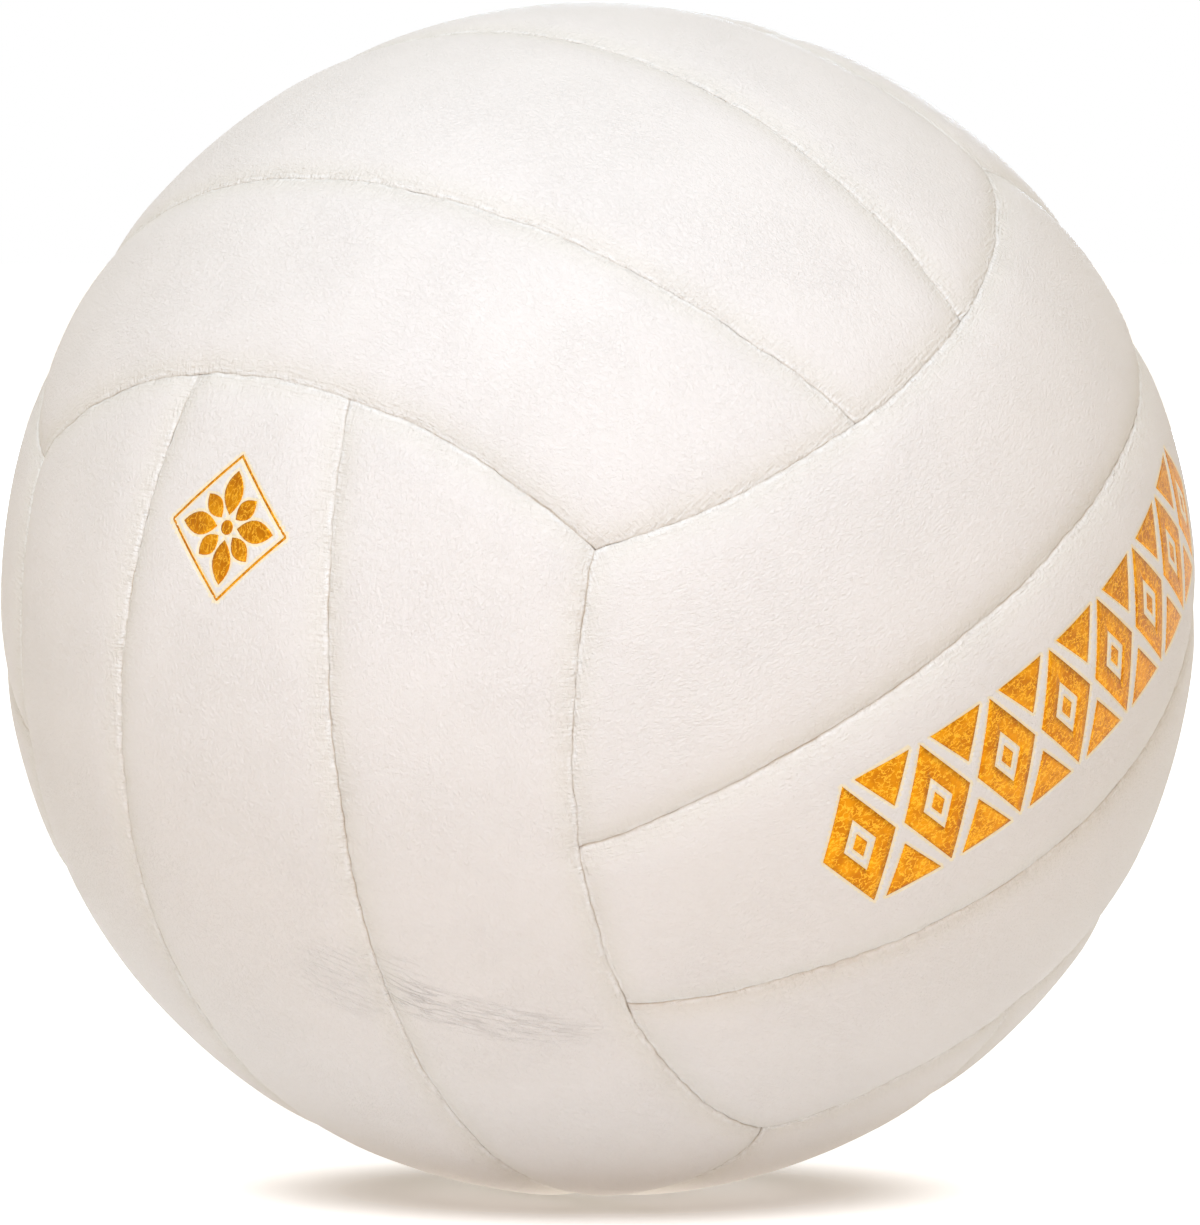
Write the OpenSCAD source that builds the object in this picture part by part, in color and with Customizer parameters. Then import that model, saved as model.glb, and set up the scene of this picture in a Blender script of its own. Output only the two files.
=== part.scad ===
// Volleyball, size 5, with a machine stitched cover of eighteen cushioned strips.
// Six groups of three strips wrap a rubber bladder, and the valve sits in the back.
// Lengths are in mm, and the origin is the ball's centre.
// The ball lies as it does in the photo: X runs to the right, Y away from the viewer, Z up.

/* [Ball] */

// Diameter over the cushioned strips
ball_d = 210;
// [180:1:240]

// Width of a group's middle strip halfway along it, measured over the curve
mid_w = 49.9;
// [42:0.1:58]

// Width of a group's middle strip at its two ends
end_w = 32.7;
// [26:0.1:42]

/* [Cover] */

// Thickness of the synthetic leather
skin_t = 1.1;
// [0.8:0.1:1.6]

// Thickness of the foam cushion behind each strip
foam_t = 3.3;
// [2.6:0.1:4.5]

// Thickness of the cloth lining behind each strip
lining_t = 0.5;
// [0.3:0.1:1]

// Glue line between two bonded layers
bond_gap = 0.05;
// [0.03:0.01:0.1]

/* [Seams] */

// Gap between the turned in edges of two neighbours
seam_gap = 0.14;
// [0.08:0.02:0.4]

// How far the edge of a strip drops at its seam
seam_dip = 1.6;
// [1:0.1:2]

// Width of the rounded shoulder beside a seam
roll_w = 5.5;
// [4.5:0.1:7]

// How far the shoulder's arc starts above the strip
roll_rise = 0.15;
// [0.1:0.05:0.3]

// Diameter of the sewing thread
thread_d = 0.6;
// [0.4:0.1:0.8]

// Room for the thread between a turned in edge and the foam
thread_room = 0.9;
// [0.8:0.1:1.4]

/* [Bladder] */

// Wall of the rubber bladder
bladder_t = 0.8;
// [0.6:0.1:1.4]

// Gap between the bladder and the cloth lining
bladder_gap = 0.3;
// [0.1:0.1:0.6]

/* [Valve] */

// Diameter of the needle channel in the valve core
needle_d = 1.9;
// [1.6:0.1:2.6]

// Length of the needle channel
needle_l = 9;
// [7:0.5:12]

// Diameter of the valve core's barrel
core_d = 4.6;
// [4:0.1:6]

// Diameter of the valve core's head
core_head_d = 5.8;
// [5:0.1:7]

// Thickness of the valve core's head
core_head_t = 1.2;
// [0.8:0.1:2]

// Length of the valve core under its head
core_l = 13;
// [11:0.5:16]

// Diameter of the valve neck, which shows in the cover
neck_d = 8.4;
// [7.6:0.1:10]

// Diameter of the valve flange inside the bladder
flange_d = 26;
// [20:1:34]

// Thickness of the valve flange
flange_t = 1.2;
// [0.8:0.1:2]

// Length of the valve tube under the flange
tail_l = 6;
// [4:0.5:8]

// Outer diameter of the reinforcing patch behind the cover
patch_d = 22;
// [16:1:30]

// Thickness of the reinforcing patch
patch_t = 0.8;
// [0.5:0.1:1.2]

// Clearance around the neck and the core
valve_gap = 0.08;
// [0.05:0.01:0.15]

// How far the valve lies under the cover
valve_sink = 0.35;
// [0.2:0.05:0.8]

/* [Hidden] */

$fn = 96;

// Radii of the layers, from the outside in.
ball_r = ball_d / 2;
skin_in = ball_r - skin_t;
foam_out = skin_in - bond_gap;
foam_in = foam_out - foam_t;
lining_out = foam_in - bond_gap;
lining_in = lining_out - lining_t;
bladder_out = lining_in - bladder_gap;
bladder_in = bladder_out - bladder_t;

// Group borders are the six circles that pass through the corners of a cube.
edge_a = acos(1 / sqrt(3));
corner_a = atan(1);

// The plane of an inner seam, from the strip's width at mid length and at its ends.
// Its normal lies in the plane across the group, and its distance is a share of the radius.
mid_a = (mid_w / 2) / ball_r * 180 / PI;
p_mid = [sin(mid_a), cos(mid_a)];
p_end = [end_w / ball_d, cos(edge_a)];
p_run = p_mid - p_end;
tilt_a = atan2(-p_run[0], p_run[1]);
inner_share = p_mid[0] * cos(tilt_a) + p_mid[1] * sin(tilt_a);
inner_a = acos(inner_share);
t_junction_a = asin(p_end[0] / sin(edge_a));
inner_end_a = acos((cos(edge_a) - inner_share * sin(tilt_a)) / (sin(inner_a) * cos(tilt_a)));

// A groove runs past the end of its seam by a ninth of the way from a border's middle to its end.
past_a = corner_a / 9;

// The rounded shoulder beside a seam is an arc that leaves the sphere roll_w from the seam.
roll_a = roll_w / ball_r * 180 / PI;
roll_r = (roll_w * roll_w + seam_dip * seam_dip) / (2 * seam_dip);
roll_c = ball_r - roll_r + roll_rise;

// Cutting bodies start and end at these shares of the ball's radius.
cut_from = 0.3 * ball_r;
cut_to = 1.2 * ball_r;

// How the ball lies on the ground in the photo.
lie = [-5.66, 29.70, -130.13];

leather_c = [0.93, 0.91, 0.87];
foam_c = [0.96, 0.90, 0.55];
cloth_c = [0.55, 0.62, 0.72];
thread_c = [0.80, 0.72, 0.55];
rubber_c = [0.16, 0.16, 0.17];
valve_c = [0.80, 0.77, 0.70];
core_c = [0.90, 0.88, 0.82];

// Turns a group from its own frame to its place: X across the strips, Y along, Z out.
module place(turn, flip) {
    rotate(lie)
        rotate(a = 120 * turn, v = [1, 1, 1])
            rotate([flip, 0, 0])
                children();
}

// A ball with its poles on the X axis, well away from the strips.
module ball(r) {
    rotate([0, 90, 0]) sphere(r = r);
}

// Everything inside the circle that bounds a group's two ends.
module end_cone(inset) {
    apex = inset / sin(edge_a);
    translate([0, 0, cut_from])
        cylinder(h = cut_to - cut_from,
                 r1 = (cut_from - apex) * tan(edge_a), r2 = (cut_to - apex) * tan(edge_a));
}

// Everything beyond a group's long edge on the side of the given sign.
module side_cone(side, inset) {
    apex = inset / sin(edge_a);
    mirror([side < 0 ? 1 : 0, 0, 0])
        rotate([0, 90, 0])
            translate([0, 0, cut_from])
                cylinder(h = cut_to - cut_from,
                         r1 = (cut_from + apex) * tan(edge_a), r2 = (cut_to + apex) * tan(edge_a));
}

// Turns a body about Z to the axis of an inner seam.
module at_inner(side) {
    mirror([side < 0 ? 1 : 0, 0, 0])
        rotate([0, 90 - tilt_a, 0])
            children();
}

// Everything beyond an inner seam, seen from the middle of the group.
module beyond_inner(side, shift) {
    at_inner(side)
        translate([0, 0, inner_share * ball_r + shift])
            cylinder(h = ball_d, r = ball_d);
}

// What rounds a strip's shoulder beside a seam at angle a from the Z axis.
// The strip lies at wider angles than the seam if side is 1, and at narrower ones if it is -1.
// The cut runs along the seam for half an angle to each side of its middle.
module shoulder(a, side, r, round_r, middle, half) {
    low = r - 1.7 * seam_dip;
    high = r + seam_dip;
    near = a + side * roll_a;
    far = a - side * roll_a / 4;
    rotate([0, 0, middle - half])
        rotate_extrude(angle = 2 * half)
            difference() {
                polygon([
                    [low * sin(near), low * cos(near)],
                    [high * sin(near), high * cos(near)],
                    [high * sin(far), high * cos(far)],
                    [low * sin(far), low * cos(far)]
                ]);
                translate([roll_c * sin(near), roll_c * cos(near)])
                    circle(r = round_r);
            }
}

// A middle strip's layer from radius low to radius r, set in from its seams.
module middle_layer(low, r, inset) {
    difference() {
        intersection() {
            ball(r);
            end_cone(inset);
        }
        beyond_inner(1, -inset);
        beyond_inner(-1, -inset);
        ball(low);
    }
}

// The same for the outer strip on the X side.
module side_layer(low, r, inset) {
    difference() {
        intersection() {
            ball(r);
            end_cone(inset);
            beyond_inner(1, inset);
        }
        side_cone(1, inset);
        ball(low);
    }
}

// The same layers with their shoulders rounded.
module middle_strip(low, r, inset) {
    round_r = roll_r - (ball_r - r);
    difference() {
        difference() {
            difference() {
                middle_layer(low, r, inset);
                at_inner(1) shoulder(inner_a, 1, r, round_r, 180, inner_end_a + past_a);
            }
            at_inner(-1) shoulder(inner_a, 1, r, round_r, 180, inner_end_a + past_a);
        }
        shoulder(edge_a, -1, r, round_r, 90, t_junction_a + past_a);
        shoulder(edge_a, -1, r, round_r, 270, t_junction_a + past_a);
    }
}

module side_strip(low, r, inset) {
    round_r = roll_r - (ball_r - r);
    half = (corner_a - t_junction_a) / 2;
    difference() {
        difference() {
            difference() {
                side_layer(low, r, inset);
                at_inner(1) shoulder(inner_a, -1, r, round_r, 180, inner_end_a + past_a);
            }
            rotate([0, 90, 0]) shoulder(edge_a, 1, r, round_r, 180, corner_a + past_a);
        }
        shoulder(edge_a, -1, r, round_r, corner_a + half, half + past_a);
        shoulder(edge_a, -1, r, round_r, -corner_a - half, half + past_a);
    }
}

// One strip: 2 is the middle one, and 1 and 3 lie on its two sides.
module strip(n, low, r, inset) {
    if (n == 2) middle_strip(low, r, inset);
    if (n == 3) side_strip(low, r, inset);
    if (n == 1) mirror([1, 0, 0]) side_strip(low, r, inset);
}

// A round hole through the cover at the middle of a group.
module hole(d) {
    translate([0, 0, cut_from])
        cylinder(h = cut_to - cut_from, d = d);
}

// A strip of leather, with its edges turned in at the seams.
module panel(n) {
    difference() {
        strip(n, lining_in, ball_r, seam_gap / 2);
        strip(n, lining_in - foam_t, skin_in, seam_gap / 2 + skin_t);
    }
}

module foam(n) {
    strip(n, foam_in, foam_out, seam_gap / 2 + skin_t + thread_room);
}

// The cloth behind a group, one piece to each strip.
module lining() {
    inset = seam_gap / 2 + skin_t + bond_gap;
    middle_layer(lining_in, lining_out, inset);
    side_layer(lining_in, lining_out, inset);
    mirror([1, 0, 0]) side_layer(lining_in, lining_out, inset);
}

// A row of thread lies against the face of a turned in edge, row_shift from the seam.
// A border is a cone about the Z axis and an inner seam is a plane across it.
row_r = foam_in + thread_d / 2 + thread_room / 2;
row_shift = seam_gap / 2 + skin_t + thread_d / 2 + bond_gap;
function border_row_a(side) = edge_a + side * asin(row_shift / row_r);
function inner_row_a(side) = acos((inner_share * ball_r - side * row_shift) / row_r);

// A row of thread at angle a from the Z axis, from one angle about it to another.
module row(a, from, to) {
    rotate([0, 0, from])
        rotate_extrude(angle = to - from)
            translate([row_r * sin(a), row_r * cos(a)])
                circle(d = thread_d);
}

// The rows of thread of a group: two inner seams and two long edges.
// Each seam has a row on both sides, and a row stops short of the seams that it meets.
row_stop = row_shift + thread_room;
edge_stop_a = row_stop / (ball_r * sin(edge_a)) * 180 / PI;
t_stop_a = 1.4 * edge_stop_a;
inner_stop_a = row_stop / ball_r * 180 / PI;
module stitching() {
    for (side = [-1, 1]) {
        at_inner(side) {
            for (s = [-1, 1]) {
                row(inner_row_a(s), 180 - inner_end_a + inner_stop_a, 180 + inner_end_a - inner_stop_a);
            }
        }
        rotate([0, side * 90, 0]) {
            mirror([side < 0 ? 1 : 0, 0, 0]) {
                row(border_row_a(1), 180 - corner_a + edge_stop_a, 180 + corner_a - edge_stop_a);
                row(border_row_a(-1), 180 - corner_a + edge_stop_a, 180 - t_junction_a - t_stop_a);
                row(border_row_a(-1), 180 - t_junction_a + t_stop_a, 180 + t_junction_a - t_stop_a);
                row(border_row_a(-1), 180 + t_junction_a + t_stop_a, 180 + corner_a - edge_stop_a);
            }
        }
    }
}

// The valve stands on the Z axis of the back right group.
neck_top = ball_r - valve_sink;
flange_out = bladder_in - bond_gap;
flange_in = flange_out - flange_t;
tail_end = flange_in - tail_l;
core_top = neck_top - valve_sink;
core_end = core_top - core_head_t - core_l;
lip = neck_d / 14;

module housing() {
    difference() {
        union() {
            intersection() {
                difference() {
                    sphere(r = flange_out);
                    sphere(r = flange_in);
                }
                translate([0, 0, cut_from])
                    cylinder(h = cut_to - cut_from, d = flange_d);
            }
            translate([0, 0, tail_end])
                cylinder(h = neck_top - lip - tail_end, d = neck_d);
            translate([0, 0, neck_top - lip])
                cylinder(h = lip, d1 = neck_d, d2 = neck_d - 2 * lip);
        }
        translate([0, 0, tail_end - tail_l])
            cylinder(h = ball_r, d = core_d + 2 * valve_gap);
        translate([0, 0, core_top - core_head_t - valve_gap])
            cylinder(h = ball_r, d = core_head_d + 2 * valve_gap);
    }
}

module core() {
    difference() {
        union() {
            translate([0, 0, core_top - core_head_t])
                cylinder(h = core_head_t, d = core_head_d);
            translate([0, 0, core_end + core_d / 4])
                cylinder(h = core_l - core_d / 4 + core_head_t / 2, d = core_d);
            translate([0, 0, core_end])
                cylinder(h = core_d / 4, d1 = core_d / 2, d2 = core_d);
        }
        translate([0, 0, core_top - needle_l])
            cylinder(h = ball_r, d = needle_d);
        translate([0, 0, core_top - needle_d / 2])
            cylinder(h = needle_d, d1 = needle_d, d2 = 3 * needle_d);
    }
}

module patch() {
    difference() {
        intersection() {
            sphere(r = skin_in - bond_gap);
            translate([0, 0, cut_from])
                cylinder(h = cut_to - cut_from, d = patch_d);
        }
        sphere(r = skin_in - bond_gap - patch_t);
        hole(neck_d + 2 * valve_gap);
    }
}

module valve_panel() {
    difference() {
        panel(2);
        hole(neck_d + 2 * valve_gap);
    }
}

// The foam behind the valve leaves room for the patch.
module valve_foam() {
    difference() {
        foam(2);
        hole(neck_d + 2 * valve_gap);
        difference() {
            hole(patch_d + 2 * valve_gap);
            ball(skin_in - 2 * bond_gap - patch_t);
        }
    }
}

module valve_lining() {
    difference() {
        lining();
        hole(neck_d + 2 * valve_gap);
    }
}

module bladder_shell() {
    difference() {
        sphere(r = bladder_out);
        sphere(r = bladder_in);
        hole(neck_d + 2 * valve_gap);
    }
}

// One module for each named piece.
module top_panel_1() color(leather_c) place(0, 0) panel(1);
module top_panel_2() color(leather_c) place(0, 0) panel(2);
module top_panel_3() color(leather_c) place(0, 0) panel(3);
module top_foam_1() color(foam_c) place(0, 0) foam(1);
module top_foam_2() color(foam_c) place(0, 0) foam(2);
module top_foam_3() color(foam_c) place(0, 0) foam(3);
module top_lining() color(cloth_c) place(0, 0) lining();
module top_stitching() color(thread_c) place(0, 0) stitching();

module left_panel_1() color(leather_c) place(1, 0) panel(1);
module left_panel_2() color(leather_c) place(1, 0) panel(2);
module left_panel_3() color(leather_c) place(1, 0) panel(3);
module left_foam_1() color(foam_c) place(1, 0) foam(1);
module left_foam_2() color(foam_c) place(1, 0) foam(2);
module left_foam_3() color(foam_c) place(1, 0) foam(3);
module left_lining() color(cloth_c) place(1, 0) lining();
module left_stitching() color(thread_c) place(1, 0) stitching();

module right_panel_1() color(leather_c) place(2, 0) panel(1);
module right_panel_2() color(leather_c) place(2, 0) panel(2);
module right_panel_3() color(leather_c) place(2, 0) panel(3);
module right_foam_1() color(foam_c) place(2, 0) foam(1);
module right_foam_2() color(foam_c) place(2, 0) foam(2);
module right_foam_3() color(foam_c) place(2, 0) foam(3);
module right_lining() color(cloth_c) place(2, 0) lining();
module right_stitching() color(thread_c) place(2, 0) stitching();

module bottom_panel_1() color(leather_c) place(0, 180) panel(1);
module bottom_panel_2() color(leather_c) place(0, 180) panel(2);
module bottom_panel_3() color(leather_c) place(0, 180) panel(3);
module bottom_foam_1() color(foam_c) place(0, 180) foam(1);
module bottom_foam_2() color(foam_c) place(0, 180) foam(2);
module bottom_foam_3() color(foam_c) place(0, 180) foam(3);
module bottom_lining() color(cloth_c) place(0, 180) lining();
module bottom_stitching() color(thread_c) place(0, 180) stitching();

module back_right_panel_1() color(leather_c) place(1, 180) panel(1);
module back_right_panel_2() color(leather_c) place(1, 180) valve_panel();
module back_right_panel_3() color(leather_c) place(1, 180) panel(3);
module back_right_foam_1() color(foam_c) place(1, 180) foam(1);
module back_right_foam_2() color(foam_c) place(1, 180) valve_foam();
module back_right_foam_3() color(foam_c) place(1, 180) foam(3);
module back_right_lining() color(cloth_c) place(1, 180) valve_lining();
module back_right_stitching() color(thread_c) place(1, 180) stitching();

module back_left_panel_1() color(leather_c) place(2, 180) panel(1);
module back_left_panel_2() color(leather_c) place(2, 180) panel(2);
module back_left_panel_3() color(leather_c) place(2, 180) panel(3);
module back_left_foam_1() color(foam_c) place(2, 180) foam(1);
module back_left_foam_2() color(foam_c) place(2, 180) foam(2);
module back_left_foam_3() color(foam_c) place(2, 180) foam(3);
module back_left_lining() color(cloth_c) place(2, 180) lining();
module back_left_stitching() color(thread_c) place(2, 180) stitching();

module bladder() color(rubber_c) place(1, 180) bladder_shell();
module valve_housing() color(valve_c) place(1, 180) housing();
module valve_core() color(core_c) place(1, 180) core();
module valve_patch() color(cloth_c) place(1, 180) patch();

top_panel_1();
top_panel_2();
top_panel_3();
top_foam_1();
top_foam_2();
top_foam_3();
top_lining();
top_stitching();
left_panel_1();
left_panel_2();
left_panel_3();
left_foam_1();
left_foam_2();
left_foam_3();
left_lining();
left_stitching();
right_panel_1();
right_panel_2();
right_panel_3();
right_foam_1();
right_foam_2();
right_foam_3();
right_lining();
right_stitching();
bottom_panel_1();
bottom_panel_2();
bottom_panel_3();
bottom_foam_1();
bottom_foam_2();
bottom_foam_3();
bottom_lining();
bottom_stitching();
back_right_panel_1();
back_right_panel_2();
back_right_panel_3();
back_right_foam_1();
back_right_foam_2();
back_right_foam_3();
back_right_lining();
back_right_stitching();
back_left_panel_1();
back_left_panel_2();
back_left_panel_3();
back_left_foam_1();
back_left_foam_2();
back_left_foam_3();
back_left_lining();
back_left_stitching();
bladder();
valve_housing();
valve_core();
valve_patch();
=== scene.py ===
"""The look of a stitched volleyball: cushioned leather strips, foil ornaments, valve and studio.

Lengths are in millimetres until a mesh is made. A group's own frame has X across its
three strips, Y along them and Z out of the ball.
"""

import math

import bmesh
import bpy
import numpy as np
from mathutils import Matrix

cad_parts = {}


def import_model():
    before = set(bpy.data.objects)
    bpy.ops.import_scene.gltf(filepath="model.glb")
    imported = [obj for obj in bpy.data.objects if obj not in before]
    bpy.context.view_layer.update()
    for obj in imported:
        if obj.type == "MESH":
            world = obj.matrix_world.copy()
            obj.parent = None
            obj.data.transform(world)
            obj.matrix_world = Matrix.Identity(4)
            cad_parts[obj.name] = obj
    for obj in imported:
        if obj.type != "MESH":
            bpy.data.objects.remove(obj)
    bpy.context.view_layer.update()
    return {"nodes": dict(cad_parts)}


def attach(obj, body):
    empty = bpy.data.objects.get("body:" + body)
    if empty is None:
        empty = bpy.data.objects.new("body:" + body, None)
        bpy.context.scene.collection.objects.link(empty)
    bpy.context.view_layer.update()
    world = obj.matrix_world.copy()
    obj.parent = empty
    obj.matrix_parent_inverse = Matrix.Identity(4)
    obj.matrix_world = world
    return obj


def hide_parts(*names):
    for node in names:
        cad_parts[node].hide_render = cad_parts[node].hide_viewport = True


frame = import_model()

MM = 0.001

# The ball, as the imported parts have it
BALL_R = 105.0
MID_W = 49.9
END_W = 32.7
SKIN = 1.1
GLUE = 0.05
FOAM = 3.3
LINING = 0.5
THREAD_ROOM = 0.9
FOAM_IN = BALL_R - SKIN - GLUE - FOAM
LINING_OUT = FOAM_IN - GLUE
LINING_IN = LINING_OUT - LINING
HOLE_R = 4.28
LIE = (-5.66, 29.70, -130.13)

# The seams: a wide soft shoulder, a small rolled edge and a thin gap
SHOULDER_W = 9.0
SHOULDER_DROP = 0.95
EDGE_W = 3.2
EDGE_DROP = 0.34
ROLL_W = 0.8
ROLL_DROP = 0.44
ROLL_LEAST = 0.12
GAP_HALF = 0.006
STITCH_PITCH = 4.4

# How tightly a seam is pulled in: its mean, its swing and the length over which it changes
PULL_MEAN = 0.55
PULL_SWING = 0.45
PULL_LENGTH = 21

# Puckers between stitches: their depth, how far they reach and how their pitch drifts
PUCKER = 0.09
PUCKER_REACH = 2.4
PUCKER_DRIFT = 17

# Sideways wander of a seam: its size, and the lengths and shares of its waves
WANDER = 0.24
WANDER_REACH = 3
WANDER_SHORT = 7
WANDER_LONG = 23
WANDER_LONG_SHARE = 0.6
WANDER_STITCH_SHARE = 0.25
WANDER_DRIFT = 19

# Where seams get shallower towards the top of the ball, as shares of its radius, and how much
FLAT_FROM = 0.1
FLAT_TO = 0.5
FLAT_SHARE = 0.82

# Creases square to a seam, and how much of its length is worn
CREASE_DROP = 0.09
CREASE_SIZE = (2.3, 9)
CREASE_REACH = 7
WORN_SIZE = (26, 30)
WORN_MEAN = 0.3

# Hollows where seams meet, and gentle lumps as height, size and seed
PINCH_R = 3.4
PINCH_DROP = 0.35
LUMPS = ((0.11, 21, 90), (0.05, 8, 91))
LUMPS_UNDER = 0.1

# Mesh spacing beside a seam, its growth, and its largest values across and along
FIRST_STEP = 0.05
STEP_GROWTH = 0.22
OUTER_STEPS = (1.0, 0.8)
INNER_STEPS = (4.0, 4.0)

# How far the inner face of the leather lies under its rolled edges
UNDER_SINK = 0.3

# How far the move away from a seam fades into the strip, at its top and at its underside
INSET_REACH = 1.6
UNDER_REACH = 2

# Rings of an underside, as shares of the way to its middle, and points on each
UNDER_RINGS = (0.02, 0.06, 0.12, 0.22, 0.36, 0.52, 0.7, 0.86)
UNDER_POINTS = 96

# The valve's opening: first ring beyond its wall, rim steps out and down, cells bent round it
HOLE_RING = 0.5
HOLE_RIM = ((0.15, 0.10), (0.0, 0.45))
HOLE_CELLS = 4.0
HOLE_BENDS = (14.0, 16.0)

# Foil ornaments: how deep they are pressed and how thick the foil is
STAMP = 0.16
STAMP_EDGE = 0.30
STAMP_REACH = 1.7
STAMP_MARGIN = 1
FOIL_RISE = 0.03
FOIL_DEPTH = 0.06

GROUPS = {
    "top": (0, 0),
    "left": (1, 0),
    "right": (2, 0),
    "bottom": (0, 180),
    "back_right": (1, 180),
    "back_left": (2, 180),
}
VALVE_GROUP = "back_right"

# Numbers that keep the seams' noise and the strips' textures apart
SEEDS_PER_GROUP = 7
CREASE_SEED = 40
WORN_SEED = 41
TEXTURE_STEP = 97.0
HASH = (127.1, 311.7, 74.7, 53.9)
HASH_SCALE = 43758.5453


def turned(axis, degrees):
    """The matrix that turns points about an axis."""
    x, y, z = np.array(axis, float) / np.linalg.norm(axis)
    cross = np.array([[0, -z, y], [z, 0, -x], [-y, x, 0]])
    a = math.radians(degrees)
    return np.eye(3) + math.sin(a) * cross + (1 - math.cos(a)) * cross @ cross


LIE_M = turned((0, 0, 1), LIE[2]) @ turned((0, 1, 0), LIE[1]) @ turned((1, 0, 0), LIE[0])
CUBE = {
    name: turned((1, 1, 1), 120 * turn) @ turned((1, 0, 0), flip)
    for name, (turn, flip) in GROUPS.items()
}

# Angles of the seams, worked out from the widths of a middle strip
EDGE_A = math.acos(1 / math.sqrt(3))
CORNER_A = math.pi / 4
MID_P = np.array([math.sin(MID_W / 2 / BALL_R), math.cos(MID_W / 2 / BALL_R)])
END_P = np.array([END_W / 2 / BALL_R, math.cos(EDGE_A)])
TILT_A = math.atan2(END_P[0] - MID_P[0], MID_P[1] - END_P[1])
INNER_SHARE = MID_P[0] * math.cos(TILT_A) + MID_P[1] * math.sin(TILT_A)
T_A = math.asin(END_P[0] / math.sin(EDGE_A))
INNER_END_A = math.acos(
    (math.cos(EDGE_A) - INNER_SHARE * math.sin(TILT_A))
    / (math.sqrt(1 - INNER_SHARE**2) * math.cos(TILT_A))
)


def lattice(i, j, k, seed):
    """A fixed pseudo random number from -1 to 1 for each lattice point."""
    v = np.sin(i * HASH[0] + j * HASH[1] + k * HASH[2] + seed * HASH[3]) * HASH_SCALE
    return 2 * (v - np.floor(v)) - 1


def noise(x, y, z, seed):
    """Smooth noise from -1 to 1 with features about one unit long."""
    x, y, z = np.broadcast_arrays(x, y, z)
    i, j, k = np.floor(x), np.floor(y), np.floor(z)
    u, v, w = (a * a * (3 - 2 * a) for a in (x - i, y - j, z - k))
    total = 0
    for di, pu in ((0, 1 - u), (1, u)):
        for dj, pv in ((0, 1 - v), (1, v)):
            for dk, pw in ((0, 1 - w), (1, w)):
                total = total + pu * pv * pw * lattice(i + di, j + dj, k + dk, seed)
    return total


def unit(v):
    """Vectors of length one."""
    return v / np.maximum(np.linalg.norm(v, axis=-1, keepdims=True), 1e-12)


def seam_seed(group, place):
    """The noise seed of one of a group's seams."""
    return list(GROUPS).index(group) * SEEDS_PER_GROUP + place


class Border:
    """The circle that bounds the ends of one group and the long edges of two others."""

    def __init__(self, group):
        self.group = group
        self.seed = seam_seed(group, 1)

    def measure(self, p):
        """Distance beyond the circle, place along it and the direction away from its axis."""
        q = p @ CUBE[self.group]
        angle = np.arccos(np.clip(q[:, 2], -1, 1))
        along = BALL_R * math.sin(EDGE_A) * np.arctan2(q[:, 1], q[:, 0])
        away = q[:, 2:3] * q - np.array([0, 0, 1.0])
        return BALL_R * (angle - EDGE_A), along, unit(away) @ CUBE[self.group].T


class Inner:
    """A seam inside a group, which lies in a plane."""

    def __init__(self, group, side):
        self.group = group
        self.normal = np.array([side * math.cos(TILT_A), 0, math.sin(TILT_A)])
        self.seed = seam_seed(group, 3 + side)

    def measure(self, p):
        """Distance beyond the plane, place along the seam and the direction away."""
        q = p @ CUBE[self.group]
        height = q @ self.normal
        away = self.normal - height[:, None] * q
        beyond = BALL_R * (np.arcsin(np.clip(height, -1, 1)) - math.asin(INNER_SHARE))
        along = BALL_R * np.arctan2(q[:, 1], q[:, 2])
        return beyond, along, unit(away) @ CUBE[self.group].T


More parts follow.
